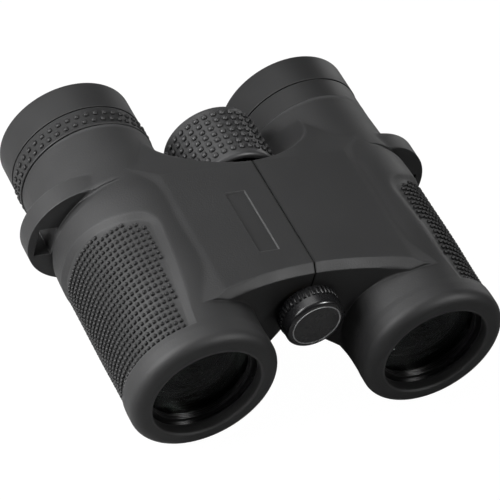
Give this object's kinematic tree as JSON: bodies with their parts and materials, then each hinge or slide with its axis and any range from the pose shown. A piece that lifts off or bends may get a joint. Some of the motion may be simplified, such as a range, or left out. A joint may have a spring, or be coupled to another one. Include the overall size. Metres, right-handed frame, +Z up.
{
  "type": "binoculars",
  "caption": "Compact roof-prism binoculars with folding barrels, centre focus wheel, diopter ring, twist-up eyecups and a tripod socket under a screw cap.",
  "frame": {"origin": "on the ground under the middle of the instrument, opened flat: middle of its length and width, at the lowest point of the barrels", "axes": "+X across the barrels towards the user's left, +Y from the objectives to the eyecups, +Z up"},
  "size_m": [0.1308, 0.107, 0.0479],
  "materials": {
    "alloy_housing": "matte",
    "armour_rubber": "satin",
    "black_anodised": "anodised black",
    "black_plastic": "satin",
    "brass": "turned",
    "coated_glass": "polished",
    "inlay_plate": "satin",
    "moulded_rubber": "satin",
    "prism_glass": "polished",
    "ring_rubber": "satin",
    "satin_black_metal": "satin",
    "seal_rubber": "matte",
    "slide_plastic": "matte",
    "steel": "ground"
  },
  "bodies": {
    "right_barrel": {"right_armour": "armour_rubber", "right_housing": "alloy_housing", "right_objective_cell": "black_anodised", "right_clamp_ring": "satin_black_metal", "right_front_lens": "coated_glass", "right_rear_lens": "coated_glass", "right_objective_seal": "seal_rubber", "right_prism_cage": "alloy_housing", "right_half_penta_prism": "prism_glass", "right_roof_prism": "prism_glass", "right_ocular_tube": "black_anodised", "hinge_tube": "steel", "hinge_washers": "slide_plastic", "tripod_bush": "brass"},
    "left_barrel": {"left_armour": "armour_rubber", "left_housing": "alloy_housing", "left_objective_cell": "black_anodised", "left_clamp_ring": "satin_black_metal", "left_front_lens": "coated_glass", "left_rear_lens": "coated_glass", "left_objective_seal": "seal_rubber", "left_prism_cage": "alloy_housing", "left_half_penta_prism": "prism_glass", "left_roof_prism": "prism_glass", "left_ocular_tube": "black_anodised", "left_ocular_collar": "ring_rubber", "left_ocular_cell": "black_anodised", "left_field_lens": "coated_glass", "left_eye_lens": "coated_glass", "left_eye_ring": "satin_black_metal"},
    "diopter_ring": {"diopter_ring": "ring_rubber"},
    "diopter_lenses": {"right_ocular_cell": "black_anodised", "right_field_lens": "coated_glass", "right_eye_lens": "coated_glass", "right_eye_ring": "satin_black_metal"},
    "right_focusing_lens": {"right_focus_cell": "black_anodised", "right_focus_lens": "coated_glass", "right_focus_arm": "black_anodised"},
    "left_focusing_lens": {"left_focus_cell": "black_anodised", "left_focus_lens": "coated_glass", "left_focus_arm": "black_anodised"},
    "focus_carriage": {"focus_carriage": "black_anodised", "focus_nut": "brass", "carriage_pins": "steel"},
    "focus_wheel": {"wheel_tyre": "moulded_rubber", "wheel_hub": "black_anodised", "focus_spindle": "steel", "wheel_end_cap": "black_plastic"},
    "socket_cap": {"socket_cap": "black_plastic", "cap_inlay": "inlay_plate"},
    "right_eyecup_sleeve": {"right_eyecup_sleeve": "slide_plastic"},
    "right_eyecup": {"right_eyecup": "moulded_rubber"},
    "left_eyecup_sleeve": {"left_eyecup_sleeve": "slide_plastic"},
    "left_eyecup": {"left_eyecup": "moulded_rubber"}
  },
  "joints": [
    {"name": "hinge_fold", "type": "hinge", "parent": "right_barrel", "child": "left_barrel", "pos_m": [0, 0, 0.0326], "axis": [0, 1, 0], "range_deg": [0, 58]},
    {"name": "focus_turn", "type": "hinge", "parent": "right_barrel", "child": "focus_wheel", "pos_m": [0, 0, 0.0326], "axis": [0, 1, 0], "range_deg": [-270, 270]},
    {"name": "carriage_slide", "type": "slide", "parent": "right_barrel", "child": "focus_carriage", "axis": [0, 1, 0], "range_m": [-0.0025, 0.0025]},
    {"name": "right_focus_slide", "type": "slide", "parent": "right_barrel", "child": "right_focusing_lens", "axis": [0, 1, 0], "range_m": [-0.0025, 0.0025]},
    {"name": "left_focus_slide", "type": "slide", "parent": "left_barrel", "child": "left_focusing_lens", "axis": [0, 1, 0], "range_m": [-0.0025, 0.0025]},
    {"name": "diopter_turn", "type": "hinge", "parent": "right_barrel", "child": "diopter_ring", "pos_m": [-0.037, 0, 0.0239], "axis": [0, 1, 0], "range_deg": [-50, 50]},
    {"name": "diopter_slide", "type": "slide", "parent": "right_barrel", "child": "diopter_lenses", "axis": [0, 1, 0], "range_m": [-0.0012, 0.0012]},
    {"name": "right_eyecup_lift", "type": "slide", "parent": "right_barrel", "child": "right_eyecup_sleeve", "axis": [0, 1, 0], "range_m": [0, 0.0065]},
    {"name": "right_eyecup_turn", "type": "hinge", "parent": "right_eyecup_sleeve", "child": "right_eyecup", "pos_m": [-0.037, 0, 0.0239], "axis": [0, 1, 0], "range_deg": [0, 120]},
    {"name": "left_eyecup_lift", "type": "slide", "parent": "left_barrel", "child": "left_eyecup_sleeve", "axis": [0, 1, 0], "range_m": [0, 0.0065]},
    {"name": "left_eyecup_turn", "type": "hinge", "parent": "left_eyecup_sleeve", "child": "left_eyecup", "pos_m": [0.037, 0, 0.0239], "axis": [0, 1, 0], "range_deg": [0, 120]},
    {"name": "cap_off", "type": "slide", "parent": "right_barrel", "child": "socket_cap", "axis": [0, -1, 0], "range_m": [0, 0.025]}
  ],
  "couplings": [
    {"joint": "focus_turn", "follows": "carriage_slide", "rad_per_m": 1885},
    {"joint": "right_focus_slide", "follows": "carriage_slide", "ratio": 1},
    {"joint": "left_focus_slide", "follows": "carriage_slide", "ratio": 1},
    {"joint": "diopter_turn", "follows": "diopter_slide", "rad_per_m": 727.22},
    {"joint": "right_eyecup_turn", "follows": "right_eyecup_lift", "rad_per_m": 322.21},
    {"joint": "left_eyecup_turn", "follows": "left_eyecup_lift", "rad_per_m": 322.21}
  ]
}
